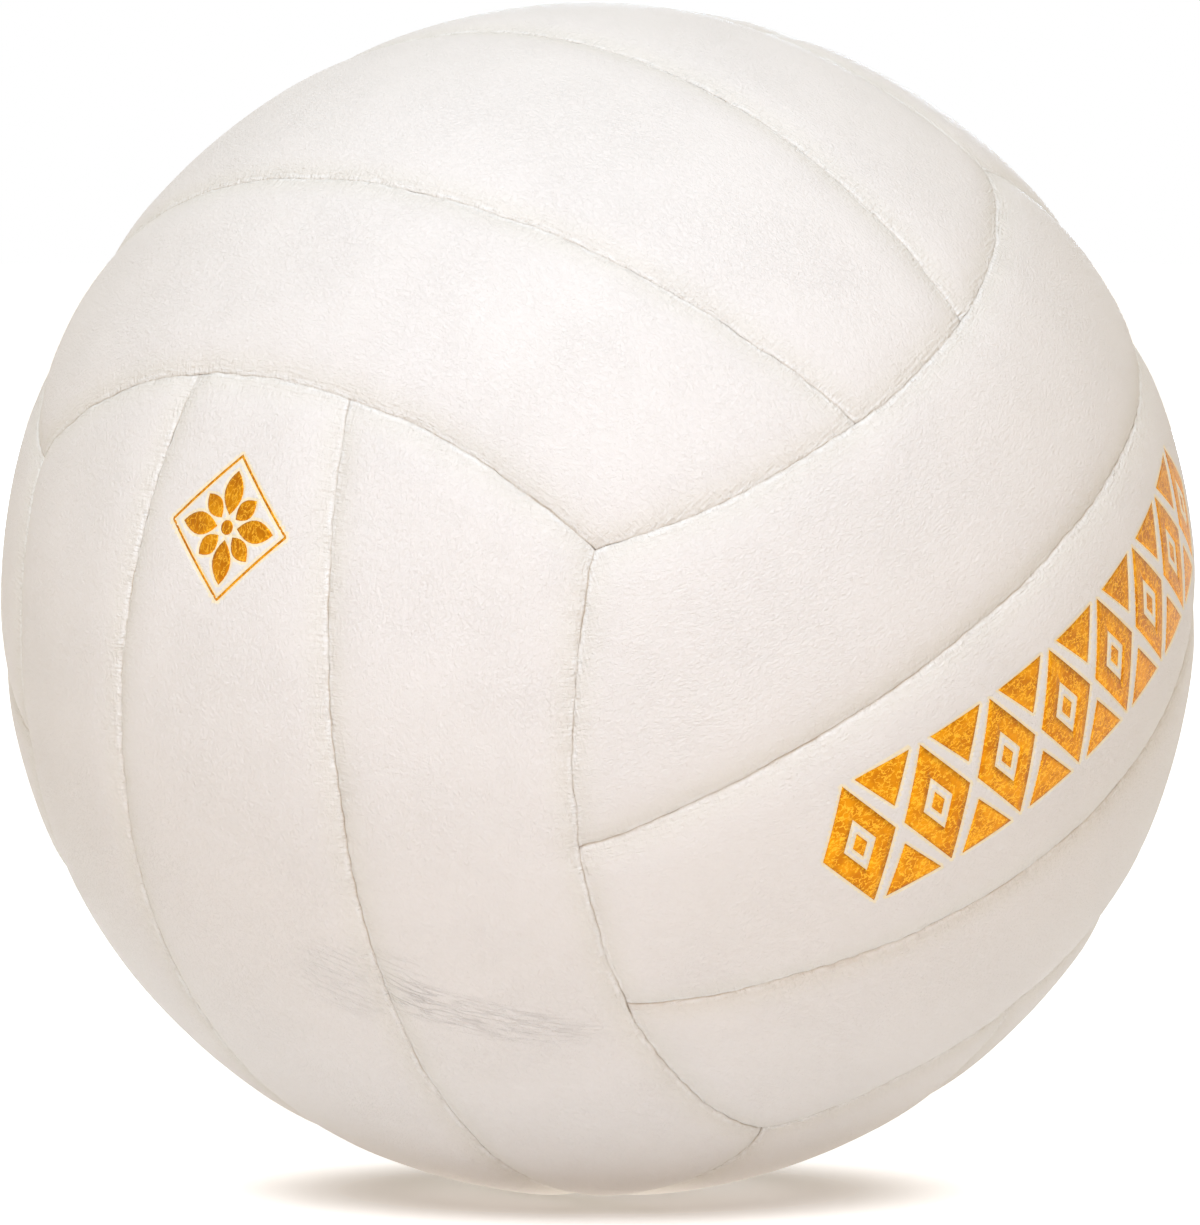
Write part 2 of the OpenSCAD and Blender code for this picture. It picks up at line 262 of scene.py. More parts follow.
class Strip:
    """One of the three strips of a group: 2 is the middle one."""

    def __init__(self, group, number):
        self.group = group
        self.number = number
        self.side = number - 2
        self.frame = CUBE[group]
        self.offset = TEXTURE_STEP * (number + 3 * list(GROUPS).index(group))
        self.seams = [(Border(group), -1)]
        if self.side == 0:
            self.seams += [(Inner(group, 1), -1), (Inner(group, -1), -1)]
        else:
            outward = self.side * self.frame[:, 0]
            beside = max(GROUPS, key=lambda name: float(CUBE[name][:, 2] @ outward))
            self.seams += [(Inner(group, self.side), 1), (Border(beside), 1)]

    def end_points(self, u, sign):
        """Points on the end of the strip, from one long seam to the other."""
        if self.side == 0:
            a = T_A * (2 * u - 1)
        else:
            a = self.side * (T_A + (CORNER_A - T_A) * u)
        s = math.sin(EDGE_A)
        return np.stack([s * np.sin(a), sign * s * np.cos(a), 0 * a + math.cos(EDGE_A)], 1)

    def inner_points(self, v, side):
        """Points on an inner seam, from one end to the other."""
        a = INNER_END_A * (2 * v - 1)
        r = math.sqrt(1 - INNER_SHARE**2)
        x = INNER_SHARE * math.cos(TILT_A) - r * np.cos(a) * math.sin(TILT_A)
        z = INNER_SHARE * math.sin(TILT_A) + r * np.cos(a) * math.cos(TILT_A)
        return np.stack([side * x, r * np.sin(a), z], 1)

    def edge_points(self, v, side):
        """Points on the long border of a side strip."""
        a = CORNER_A * (2 * v - 1)
        s = math.sin(EDGE_A)
        return np.stack([0 * a + side * math.cos(EDGE_A), s * np.sin(a), s * np.cos(a)], 1)

    def patch(self, us, vs):
        """A grid of directions that fills the strip, bounded by its four seams."""
        low, high = self.end_points(us, -1), self.end_points(us, 1)
        if self.side == 0:
            near, far = self.inner_points(vs, -1), self.inner_points(vs, 1)
        else:
            near, far = self.inner_points(vs, self.side), self.edge_points(vs, self.side)
        u, v = us[None, :, None], vs[:, None, None]
        rows = (1 - v) * low[None] + v * high[None]
        columns = (1 - u) * near[:, None] + u * far[:, None]
        low_side = (1 - u) * low[0] + u * low[-1]
        high_side = (1 - u) * high[0] + u * high[-1]
        corners = (1 - v) * low_side + v * high_side
        return unit((rows + columns - corners).reshape(-1, 3)) @ self.frame.T

    def flat(self, p):
        """Distances across and along the strip in millimetres."""
        q = p @ self.frame
        across = BALL_R * np.arcsin(np.clip(q[:, 0], -1, 1))
        return np.stack([across, BALL_R * np.arctan2(q[:, 1], q[:, 2])], 1)

    def marks(self, p):
        """Attributes for the materials: flat places, depths from the seams and pressed parts."""
        flat = np.c_[self.flat(p), np.full(len(p), self.offset)]
        end, *sides = (m[0] for m in self.measures(p))
        seam = np.stack([np.min(sides, axis=0), end, stamp_drop(self, p) / STAMP], 1)
        return [("seam", seam), ("flat", flat)]

    def measures(self, p):
        """For each seam: depth into the strip, place along, inward direction, sign and seed."""
        for seam, sign in self.seams:
            beyond, along, away = seam.measure(p)
            yield np.maximum(sign * beyond, 0), along, sign * away, sign, seam.seed


def pinches():
    """Where seams meet: the T joints at the ends of inner seams, and the eight corners."""
    s, c = math.sin(EDGE_A), math.cos(EDGE_A)
    joint_x, joint_y = s * math.sin(T_A), s * math.cos(T_A)
    points = []
    for name in GROUPS:
        for i in (-1, 1):
            for j in (-1, 1):
                points.append(CUBE[name] @ np.array([i * joint_x, j * joint_y, c]))
                points.append(CUBE[name] @ np.array([i * c, j * c, c]))
    return np.unique(np.round(points, 9), axis=0)


PINCHES = pinches()


def shoulder_drop(strip, p):
    """How far the wide shoulders beside the seams lie under the sphere."""
    rest = 1
    for depth, *_ in strip.measures(p):
        rest = rest * (1 - np.clip(1 - depth / SHOULDER_W, 0, 1) ** 2)
    return SHOULDER_DROP * (1 - rest)


def wander(along, seed):
    """Sideways wander of a seam, which its two strips share."""
    drift = 2 * noise(along / WANDER_DRIFT, 0, 0, seed)
    waves = WANDER_STITCH_SHARE * np.sin(2 * math.pi * along / STITCH_PITCH + drift)
    waves = waves + noise(along / WANDER_SHORT, 3, 0, seed)
    return WANDER * (waves + WANDER_LONG_SHARE * noise(along / WANDER_LONG, 5, 0, seed))


def flattened(p):
    """How much shallower the seams are: 0 low on the ball, rising towards its top."""
    rise = np.clip(((p @ LIE_M.T)[:, 2] - FLAT_FROM) / (FLAT_TO - FLAT_FROM), 0, 1)
    return FLAT_SHARE * rise * rise * (3 - 2 * rise)


def surface_drop(strip, p):
    """How far the leather lies under the sphere, with rolled edges, puckers and gentle lumps."""
    roll_rest = 1
    fine = 0
    kept = 1 - flattened(p)
    for depth, along, _, _, seed in strip.measures(p):
        fine = fine + kept * EDGE_DROP * np.clip(1 - depth / EDGE_W, 0, 1) ** 2
        q = np.clip(1 - depth / ROLL_W, 0, 1)
        pull = kept * (PULL_MEAN + PULL_SWING * noise(along / PULL_LENGTH, 1, 0, seed))
        roll_rest = roll_rest * (1 - (ROLL_LEAST + (1 - ROLL_LEAST) * pull * pull) * q * q)
        drift = 2 * noise(along / PUCKER_DRIFT, 2, 0, seed)
        stitch = np.cos(2 * math.pi * along / STITCH_PITCH + drift)
        fine = fine + PUCKER * pull * stitch * np.exp(-depth / PUCKER_REACH)
        u, v = along / CREASE_SIZE[0], depth / CREASE_SIZE[1]
        crease = noise(u, v, strip.side, seed + CREASE_SEED)
        u, v = along / WORN_SIZE[0], depth / WORN_SIZE[1]
        worn = np.clip(WORN_MEAN + noise(u, v, strip.side, seed + WORN_SEED), 0, 1)
        fine = fine + CREASE_DROP * worn * crease * np.exp(-depth / CREASE_REACH)
    for centre in PINCHES:
        away = BALL_R * np.linalg.norm(p - centre, axis=1)
        fine = fine + PINCH_DROP * np.exp(-((away / PINCH_R) ** 2))
    x, y, z = (BALL_R * p).T
    for height, size, seed in LUMPS:
        fine = fine + height * noise(x / size, y / size, z / size, seed)
    fine = np.maximum(fine + LUMPS_UNDER, 0)
    return shoulder_drop(strip, p) + ROLL_DROP * (1 - roll_rest) + fine


def shifted(strip, p, inset, reach):
    """Directions moved in from the seams, and along with their wander."""
    move = 0
    for depth, along, inward, sign, seed in strip.measures(p):
        shift = inset * np.exp(-((depth / reach) ** 2))
        shift = shift + sign * wander(along, seed) * np.exp(-((depth / WANDER_REACH) ** 2))
        move = move + shift[:, None] * inward
    return unit(p + move / BALL_R)


def spaced(length, largest, windows):
    """Grid lines from 0 to 1: close at both ends and in windows, given from the middle."""
    half = [0.0]
    while half[-1] < length / 2:
        at = half[-1]
        step = min(FIRST_STEP + STEP_GROWTH * at, largest)
        for low, high, fine in windows:
            if low < length / 2 - at < high:
                step = min(step, fine)
        half.append(at + step)
    half = np.array(half) * (length / 2) / half[-1]
    return np.concatenate([half, length - half[-2::-1]]) / length


def strip_lengths(strip):
    """Width and length of a strip at its middle, in millimetres."""
    along = 2 * BALL_R * INNER_END_A
    if strip.side == 0:
        return MID_W, along
    return BALL_R * (math.pi / 2 - EDGE_A) - MID_W / 2, along


class Shell:
    """Collects the points and faces of one closed mesh."""

    def __init__(self):
        self.points = []
        self.faces = []
        self.count = 0

    def add(self, points):
        """Adds points and returns their numbers."""
        self.points.append(np.asarray(points, float))
        self.count += len(points)
        return np.arange(self.count - len(points), self.count)

    def band(self, a, b):
        """Quads between two rings with as many points."""
        a2, b2 = np.roll(a, -1), np.roll(b, -1)
        self.faces += np.stack([a, a2, b2, b], 1).tolist()

    def zip(self, a, at, b, bt):
        """Triangles between two rings whose points have rising places from 0 to 1."""
        i = j = 0
        while i < len(a) or j < len(b):
            next_a = at[i + 1] if i + 1 < len(a) else 1 + at[0]
            next_b = bt[j + 1] if j + 1 < len(b) else 1 + bt[0]
            here_a, here_b = a[i % len(a)], b[j % len(b)]
            if j >= len(b) or (i < len(a) and next_a <= next_b):
                self.faces.append([here_a, a[(i + 1) % len(a)], here_b])
                i += 1
            else:
                self.faces.append([here_a, b[(j + 1) % len(b)], here_b])
                j += 1

    def fan(self, ring, centre):
        """Triangles from a ring to one point."""
        self.faces += [[p, q, centre] for p, q in zip(ring, np.roll(ring, -1))]

    def mesh(self, name, attributes=()):
        """A smooth mesh object with its normals out, turned as the ball lies."""
        points = np.concatenate(self.points) @ LIE_M.T * MM
        data = bpy.data.meshes.new(name)
        data.from_pydata(points.tolist(), [], self.faces)
        for key, values in attributes:
            full = np.zeros((self.count, values.shape[1]))
            full[: len(values)] = values
            store = data.attributes.new(key, "FLOAT_VECTOR", "POINT")
            store.data.foreach_set("vector", full.ravel())
        work = bmesh.new()
        work.from_mesh(data)
        bmesh.ops.recalc_face_normals(work, faces=work.faces)
        work.to_mesh(data)
        work.free()
        data.shade_smooth()
        piece = bpy.data.objects.new(name, data)
        bpy.context.scene.collection.objects.link(piece)
        return piece


def open_hole(p, columns, rows, blocks):
    """Bends the grid round the middle of a strip into a ring. Returns the directions, the ring
    and the faces to leave out. Blocks gives the cells from the middle to the ring and to where
    the bending ends, across and along."""
    (in_u, out_u), (in_v, out_v) = blocks
    ci, cj = columns // 2, rows // 2
    grid = p.reshape(rows, columns, 3).copy()
    x, y = BALL_R * grid[..., 0], BALL_R * grid[..., 1]
    half_u = abs(x[cj, ci + in_u])
    half_v = abs(y[cj + in_v, ci])
    reach = min(abs(x[cj, ci + out_u]) / half_u, abs(y[cj + out_v, ci]) / half_v)
    level = np.maximum(np.abs(x) / half_u, np.abs(y) / half_v)
    level = np.where(np.abs(level - 1) < 0.02, 1, level)
    away = np.maximum(np.hypot(x, y), 1e-9)
    w = np.clip((level - 1) / (reach - 1), 0, 1)
    w = w * w * (3 - 2 * w)
    target = (1 - w) * (HOLE_R + HOLE_RING + (level - 1) * half_u) + w * away
    near = (level < reach) & (level >= 1)
    scale = np.where(near, target / away, 1)
    x, y = x * scale / BALL_R, y * scale / BALL_R
    front = grid[..., 2] > 0.5
    bent = np.stack([x, y, np.sqrt(np.maximum(1 - x * x - y * y, 0))], -1)
    grid = np.where((near & front)[..., None], bent, grid)
    i0, i1, j0, j1 = ci - in_u, ci + in_u, cj - in_v, cj + in_v
    ring = [(j0, i) for i in range(i0, i1)] + [(j, i1) for j in range(j0, j1)]
    ring += [(j1, i) for i in range(i1, i0, -1)] + [(j, i0) for j in range(j1, j0, -1)]
    ring = np.array([j * columns + i for j, i in ring])
    return grid.reshape(-1, 3), ring, (i0, i1, j0, j1)


def on_circle(directions, strip, radius):
    """Directions moved onto a circle round the middle of a strip."""
    local = directions @ strip.frame
    scale = radius / BALL_R / np.hypot(local[:, 0], local[:, 1])
    x, y = local[:, 0] * scale, local[:, 1] * scale
    return np.stack([x, y, np.sqrt(1 - x * x - y * y)], 1) @ strip.frame.T


def by_angle(points):
    """The order of points round Z, and their places from 0 to 1."""
    turn = np.mod(np.arctan2(points[:, 1], points[:, 0]) / (2 * math.pi), 1)
    order = np.argsort(turn)
    return order, turn[order]


def layer(name, strip, lines, top, under, inset, flange=None, blocks=None):
    """One closed layer of a strip. Top and under give its radius, inset its distance from the
    seams, flange the radius that its turned in edge reaches, and blocks the hole's cells."""
    us, vs = lines
    columns, rows = len(us), len(vs)
    p = strip.patch(us, vs)
    hole_box = None
    if blocks:
        local, ring, hole_box = open_hole(p @ strip.frame, columns, rows, blocks)
        p = local @ strip.frame.T
    moved = shifted(strip, p, inset, max(INSET_REACH, 2 * inset))
    shell = Shell()
    shell.add(moved * top(strip, p)[:, None])
    i, j = np.meshgrid(np.arange(columns - 1), np.arange(rows - 1))
    keep = np.ones(i.shape, bool)
    if hole_box:
        i0, i1, j0, j1 = hole_box
        keep[j0:j1, i0:i1] = False
    a = (j * columns + i)[keep]
    shell.faces += np.stack([a, a + 1, a + columns + 1, a + columns], 1).tolist()

    edge = [*range(columns - 1), *range(columns - 1, columns * rows - 1, columns)]
    edge += [*range(columns * rows - 1, columns * (rows - 1), -1)]
    edge += [*range(columns * (rows - 1), 0, -columns)]
    edge = np.array(edge)
    outer = edge
    base = p[edge]
    last = inset
    if flange:
        down = shell.add(moved[edge] * flange)
        shell.band(outer, down)
        last = inset + SKIN
        turned_in = shell.add(shifted(strip, base, last, UNDER_REACH) * flange)
        shell.band(down, turned_in)
        outer = turned_in
    pick = np.round(np.linspace(0, len(edge), UNDER_POINTS, endpoint=False))
    pick = np.unique(pick.astype(int))
    start = shifted(strip, base[pick], last, UNDER_REACH)
    middle = strip.patch(np.array([0.0, 0.5, 1.0]), np.array([0.0, 0.5, 1.0]))[4]
    end = np.repeat(middle[None], len(pick), 0)
    if blocks:
        end = on_circle(start, strip, HOLE_R)
    first = shell.add(start * under(strip, start)[:, None])
    shell.zip(outer, np.arange(len(edge)) / len(edge), first, pick / len(edge))
    for share in UNDER_RINGS:
        part = unit(start * (1 - share) + end * share)
        following = shell.add(part * under(strip, part)[:, None])
        shell.band(first, following)
        first = following
    if blocks:
        last_ring = shell.add(end * under(strip, end)[:, None])
        shell.band(first, last_ring)
        rim = ring
        for out, down in HOLE_RIM:
            circle = on_circle(moved[ring], strip, HOLE_R + out)
            following = shell.add(circle * (top(strip, p[ring]) - down)[:, None])
            shell.band(rim, following)
            rim = following
        a_order, a_place = by_angle(moved[ring] @ strip.frame)
        b_order, b_place = by_angle(end @ strip.frame)
        shell.zip(rim[a_order], a_place, last_ring[b_order], b_place)
    else:
        centre = shell.add(middle[None] * under(strip, middle[None])[:, None])
        shell.fan(first, centre[0])
    return shell.mesh(name, strip.marks(p))


def polygon(centre, corners, per_side):
    """A loop of points along straight sides."""
    points = []
    for corner, following in zip(corners, corners[1:] + corners[:1]):
        for s in np.arange(per_side) / per_side:
            points.append((1 - s) * np.array(corner) + s * np.array(following))
    return np.array(points) + np.array(centre)


def diamond(centre, half_u, half_v, per_side):
    """A loop of points round a lozenge."""
    return polygon(centre, [(half_u, 0), (0, half_v), (-half_u, 0), (0, -half_v)], per_side)


def disc(centre, radius):
    """A loop of points round a dot."""
    a = 2 * math.pi * np.arange(DISC_POINTS) / DISC_POINTS
    return np.stack([np.cos(a), np.sin(a)], 1) * radius + np.array(centre)


def leaf(centre, angle, start, end, half_width):
    """A loop of points round a pointed leaf that stands out from a centre."""
    t = np.linspace(0, 1, LEAF_POINTS)
    w = half_width * np.sin(math.pi * t) ** LEAF_POINT
    side = np.stack([start + (end - start) * t, w], 1)
    back = (side * np.array([1, -1]))[-2:0:-1]
    c, s = math.cos(angle), math.sin(angle)
    return np.concatenate([side, back]) @ np.array([[c, s], [-s, c]]) + np.array(centre)


# The ornament band along the right group's middle strip, and the rosette on the left group's
BAND_U = 1.0
BAND_HALF_U = 11.9
BAND_HALF_V = 62.0
LOZENGES = 8
LOZENGE_U = 11.6
LOZENGE_V = 6.9
LOZENGE_HOLE_SHARE = 0.44
LOZENGE_HEART_SHARE = 0.2
TOOTH_V = 5.5
TOOTH_TIP = 3.8
BAND_SIDE_POINTS = 14
ROSETTE = (0.0, 74.1)
ROSETTE_FRAME = 12.4
ROSETTE_LINE = 0.62
ROSETTE_SIDE_POINTS = 16
ROSETTE_EYE = 1.25
DISC_POINTS = 20
LEAVES = 8
LEAF_START = 2.1
LEAF_REACH = (9.6, 7.2)
LEAF_HALF = (1.95, 1.6)
LEAF_POINT = 0.85
LEAF_POINTS = 9

# Rings of a foil shape: shares of a solid one's size, and of the way across a frame
SOLID_RINGS = (1.0, 0.8, 0.55, 0.3)
FRAME_RINGS = (1.0, 0.66, 0.33, 0.0)


def ornaments(strip):
    """Foil shapes on a strip: pairs of an outer loop and an inner one, or none."""
    shapes = []
    if (strip.group, strip.number) == ("right", 2):
        pitch = 2 * BAND_HALF_V / LOZENGES
        for k in range(LOZENGES):
            middle = np.array([BAND_U, (k + 0.5) * pitch - BAND_HALF_V])
            loop = diamond(middle, LOZENGE_U, LOZENGE_V, BAND_SIDE_POINTS)
            shapes.append((loop, (loop - middle) * LOZENGE_HOLE_SHARE + middle))
            heart = (loop - middle) * LOZENGE_HEART_SHARE + middle
            shapes.append((heart[::2], None))
        for k in range(1, LOZENGES):
            middle = (BAND_U, k * pitch - BAND_HALF_V)
            for side in (-1, 1):
                base = side * BAND_HALF_U
                tooth = [(base, -TOOTH_V), (base, TOOTH_V), (side * TOOTH_TIP, 0)]
                shapes.append((polygon(middle, tooth, BAND_SIDE_POINTS), None))
    if (strip.group, strip.number) == ("left", 2):
        centre = np.array(ROSETTE)
        outer = diamond(centre, ROSETTE_FRAME, ROSETTE_FRAME, ROSETTE_SIDE_POINTS)
        scale = 1 - ROSETTE_LINE / ROSETTE_FRAME
        shapes.append((outer, (outer - centre) * scale + centre))
        for k in range(LEAVES):
            angle = 2 * math.pi * k / LEAVES
            reach, half = LEAF_REACH[k % 2], LEAF_HALF[k % 2]
            shapes.append((leaf(centre, angle, LEAF_START, reach, half), None))
        shapes.append((disc(centre, ROSETTE_EYE), None))
    return shapes


def beyond_loop(points, loop):
    """Signed distance of points beyond a closed loop, below zero inside it."""
    nearest = np.full(len(points), 1e9)
    inside = np.zeros(len(points), bool)
    for a, b in zip(loop, np.roll(loop, -1, 0)):
        run = b - a
        share = np.clip(((points - a) @ run) / (run @ run), 0, 1)
        nearest = np.minimum(nearest, np.linalg.norm(points - a - share[:, None] * run, axis=1))
        crosses = (a[1] > points[:, 1]) != (b[1] > points[:, 1])
        rise = b[1] - a[1] if b[1] != a[1] else 1e-9
        inside ^= crosses & (points[:, 0] < run[0] * (points[:, 1] - a[1]) / rise + a[0])
    return np.where(inside, -nearest, nearest)


def stamp_drop(strip, p):
    """How far the leather is pressed in under and round the foil."""
    flat = strip.flat(p)
    drop = np.zeros(len(p))
    for outer, inner in ornaments(strip):
        low, high = outer.min(0) - STAMP_MARGIN, outer.max(0) + STAMP_MARGIN
        near = np.all((flat > low) & (flat < high), axis=1)
        beyond = beyond_loop(flat[near], outer)
        if inner is not None:
            beyond = np.maximum(beyond, -beyond_loop(flat[near], inner))
        w = np.clip(STAMP_REACH - beyond / STAMP_EDGE, 0, 1)
        drop[near] = np.maximum(drop[near], STAMP * w * w * (3 - 2 * w))
    return drop


def leather_top(strip, p):
    """Radius of the leather's outer face."""
    return BALL_R - surface_drop(strip, p) - stamp_drop(strip, p)


def leather_under(strip, p):
    """Radius of the leather's inner face."""
    return BALL_R - shoulder_drop(strip, p) - UNDER_SINK - SKIN


def foam_top(strip, p):
    """Radius of the cushion's outer face, which follows the leather."""
    return leather_under(strip, p) - GLUE


def even(radius):
    """A layer's face at one radius."""
    return lambda strip, p: np.full(len(p), radius)


def foil_points(strip, loop, lift):
    """Points of a foil loop, lifted off the pressed leather."""
    x = np.sin(loop[:, 0] / BALL_R)
    r = np.cos(loop[:, 0] / BALL_R)
    a = loop[:, 1] / BALL_R
    p = np.stack([x, r * np.sin(a), r * np.cos(a)], 1) @ strip.frame.T
    return p * (leather_top(strip, p) + lift)[:, None]


def foil(name, strip):
    """The foil ornaments of a strip as thin closed pieces in one mesh."""
    shell = Shell()
    places = []

    def ring(loop, lift):
        places.append(loop)
        return shell.add(foil_points(strip, loop, lift))

    for outer, inner in ornaments(strip):
        middle = outer.mean(0)
        solid = inner is None
        goal = middle if solid else inner
        tops, lows = [], []
        for share in SOLID_RINGS if solid else FRAME_RINGS:
            loop = goal + (outer - goal) * share
            tops.append(ring(loop, FOIL_RISE))
            lows.append(ring(loop, -FOIL_DEPTH))
        for rings in (tops, lows):
            for a, b in zip(rings, rings[1:]):
                shell.band(a, b)
        shell.band(tops[0], lows[0])
        if solid:
            for rings, lift in ((tops, FOIL_RISE), (lows, -FOIL_DEPTH)):
                shell.fan(rings[-1], ring(middle[None], lift)[0])
        else:
            shell.band(tops[-1], lows[-1])
    flat = np.concatenate(places)
    flat = np.c_[flat, np.full(len(flat), strip.offset)]
    return shell.mesh(name, [("flat", flat)])


# Stitches: where a thread crosses a seam, deep in the groove
STITCH_DEPTH = 2.2
STITCH_HALF = 0.8
STITCH_R = 0.2
STITCH_SIDES = 6
STITCH_LEAN = 0.25
STITCH_TIP = 1.15

# Where a stitch's rings lie along it, and how wide they are, as shares
STITCH_RINGS = ((-1, 0.5), (-0.75, 0.95), (0, 1), (0.75, 0.95), (1, 0.5))


def stitch_places(group):
    """Points, seam directions and outward directions of a group's stitches."""
    ends = Strip(group, 2)
    inner_length = 2 * BALL_R * INNER_END_A
    border_length = 2 * BALL_R * CORNER_A * math.sin(EDGE_A)
    for side in (-1, 1):
        count = int(inner_length / STITCH_PITCH)
        v = (np.arange(count) + 0.5) / count
        yield Inner(group, side), ends.inner_points(v, side) @ CUBE[group].T
        count = int(border_length / STITCH_PITCH)
        a = CORNER_A * (2 * (np.arange(count) + 0.5) / count - 1)
        s = math.sin(EDGE_A)
        q = np.stack([s * np.sin(a), side * s * np.cos(a), 0 * a + math.cos(EDGE_A)], 1)
        yield Border(group), q @ CUBE[group].T


def stitches(name, group):
    """Short lengths of thread that cross the seams of a group."""
    shell = Shell()
    for seam, points in stitch_places(group):
        _, along, away = seam.measure(points)
        points = unit(points + wander(along, seam.seed)[:, None] * away / BALL_R)
        for p, e in zip(points, away):
            forward = np.cross(p, e)
            axis = unit(e + STITCH_LEAN * forward)
            across = np.cross(p, axis)
            middle = p * (BALL_R - STITCH_DEPTH)
            rings = []
            for at, share in STITCH_RINGS:
                a = 2 * math.pi * np.arange(STITCH_SIDES) / STITCH_SIDES
                ring = np.cos(a)[:, None] * p + np.sin(a)[:, None] * across
                ring = ring * STITCH_R * share + middle + axis * at * STITCH_HALF
                rings.append(shell.add(ring))
            for a, b in zip(rings, rings[1:]):
                shell.band(a, b)
            for ring, at in ((rings[0], -STITCH_TIP), (rings[-1], STITCH_TIP)):
                shell.fan(ring, shell.add((middle + axis * at * STITCH_HALF)[None])[0])
    return shell.mesh(name)


# Colours, in screen values from 0 to 255: dark and light tones, then tints
CREAM = ((239, 232, 223), (242, 235, 227))
# Painted shade: a darker, yellower tint beside the seams
SEAM_SHADE_TINT = (234, 228, 210)
# Painted highlight: a pale rim on the pressed leather round the foil
PRESSED_HIGHLIGHT_TINT = (255, 238, 196)
# Painted highlight: a pale line along the edges of the seams
EDGE_HIGHLIGHT_TINT = (252, 248, 241)
# Painted shade: a darker line in the seams
SEAM_LINE_SHADE_TINT = (206, 188, 164)
GOLD_TONES = ((184, 108, 2), (212, 136, 5))
# Painted highlight: bright gold along the foil's creases
GOLD_GLINT = (238, 174, 44)
FOAM_TONES = ((232, 214, 150), (246, 234, 184))
CLOTH_TONES = ((120, 134, 158), (168, 180, 198))
THREAD_TONES = ((196, 178, 146), (224, 208, 178))
BLACK_TONES = ((40, 40, 43), (62, 62, 66))
PALE_TONES = ((214, 204, 186), (226, 217, 200))
CORE_TONES = ((226, 220, 206), (238, 232, 220))


def linear(colour):
    """A colour written in screen values from 0 to 255, as light."""
    parts = [c / 255 for c in colour]
    return tuple(c / 12.92 if c <= 0.04045 else ((c + 0.055) / 1.055) ** 2.4 for c in parts) + (1,)


def add_node(tree, kind, links=(), **values):
    """Adds a node. Values set its properties, or its inputs where it has no such property."""
    made = tree.nodes.new(kind)
    for key, value in values.items():
        if hasattr(made, key):
            setattr(made, key, value)
        else:
            made.inputs[key.replace("_", " ").title()].default_value = value
    for socket, source in links:
        tree.links.new(source, made.inputs[socket])
    return made


def smooth_range(tree, value, limits):
    """Maps a value smoothly: from the first two limits onto the others, or else onto 0 to 1."""
    made = add_node(tree, "ShaderNodeMapRange", interpolation_type="SMOOTHSTEP")
    for key, number in zip(("From Min", "From Max", "To Min", "To Max"), limits):
        made.inputs[key].default_value = number
    tree.links.new(value, made.inputs["Value"])
    return made.outputs["Result"]


class Look:
    """A material with short calls for its nodes."""

    def __init__(self, name, roughness, metallic=0.0, specular=0.5):
        self.material = bpy.data.materials.new(name)
        self.material.use_nodes = True
        self.tree = self.material.node_tree
        self.shader = self.tree.nodes["Principled BSDF"]
        self.shader.inputs["Roughness"].default_value = roughness
        self.shader.inputs["Metallic"].default_value = metallic
        self.shader.inputs["Specular IOR Level"].default_value = specular

    def node(self, kind, links=(), **values):
        """Adds a node to the material."""
        return add_node(self.tree, kind, links, **values)

    def math(self, operation, a, b):
        """A sum, product or other operation on two values, each a socket or a number."""
        made = self.node("ShaderNodeMath", operation=operation)
        for socket, value in zip(made.inputs, (a, b)):
            if isinstance(value, (int, float)):
                socket.default_value = value
            else:
                self.tree.links.new(value, socket)
        return made.outputs[0]

    def plus(self, a, b):
        """The sum of two values."""
        return self.math("ADD", a, b)

    def times(self, a, b):
        """The product of two values."""
        return self.math("MULTIPLY", a, b)

    def spread(self, value, *limits):
        """Maps a range of a value smoothly onto 0 to 1, or onto two further limits."""
        return smooth_range(self.tree, value, limits)

    def mix(self, factor, a, b):
        """Mixes two colours, each a socket or three screen values."""
        made = self.node("ShaderNodeMix", [(0, factor)], data_type="RGBA")
        for socket, value in ((made.inputs[6], a), (made.inputs[7], b)):
            if isinstance(value, tuple):
                socket.default_value = linear(value)
            else:
                self.tree.links.new(value, socket)
        return made.outputs[2]

    def noise(self, vector, *numbers):
        """The value of a noise texture."""
        values = dict(zip(("scale", "detail", "roughness", "distortion"), numbers))
        return self.node("ShaderNodeTexNoise", [("Vector", vector)], **values).outputs["Fac"]

    def swing(self, vector, *numbers):
        """The value of a noise texture with its middle moved to zero."""
        return self.math("SUBTRACT", self.noise(vector, *numbers), 0.5)

    def wave(self, vector, direction, **values):
        """The value of a wave texture."""
        links = [("Vector", vector)]
        made = self.node("ShaderNodeTexWave", links, bands_direction=direction, **values)
        return made.outputs["Fac"]

    def attribute(self, name):
        """What the mesh stores at its points under a name."""
        return self.node("ShaderNodeAttribute", attribute_name=name).outputs["Vector"]

    def mapped(self, vector, turn=0.0, scale=(1, 1, 1)):
        """A vector turned about Z, then scaled."""
        turned_by = self.node("ShaderNodeMapping", [("Vector", vector)])
        turned_by.inputs["Rotation"].default_value = (0, 0, turn)
        made = self.node("ShaderNodeMapping", [("Vector", turned_by.outputs[0])])
        made.inputs["Scale"].default_value = scale
        return made.outputs[0]

    def millimetres(self):
        """Object coordinates in millimetres."""
        place = self.node("ShaderNodeTexCoord").outputs["Object"]
        return self.mapped(place, scale=(1 / MM, 1 / MM, 1 / MM))

    def finish(self, colour, height, depth_mm):
        """Links the colour and a bump of the given depth."""
        self.tree.links.new(colour, self.shader.inputs["Base Color"])
        bump = self.node("ShaderNodeBump", [("Height", height)])
        bump.inputs["Distance"].default_value = depth_mm * MM
        self.tree.links.new(bump.outputs[0], self.shader.inputs["Normal"])
        return self.material


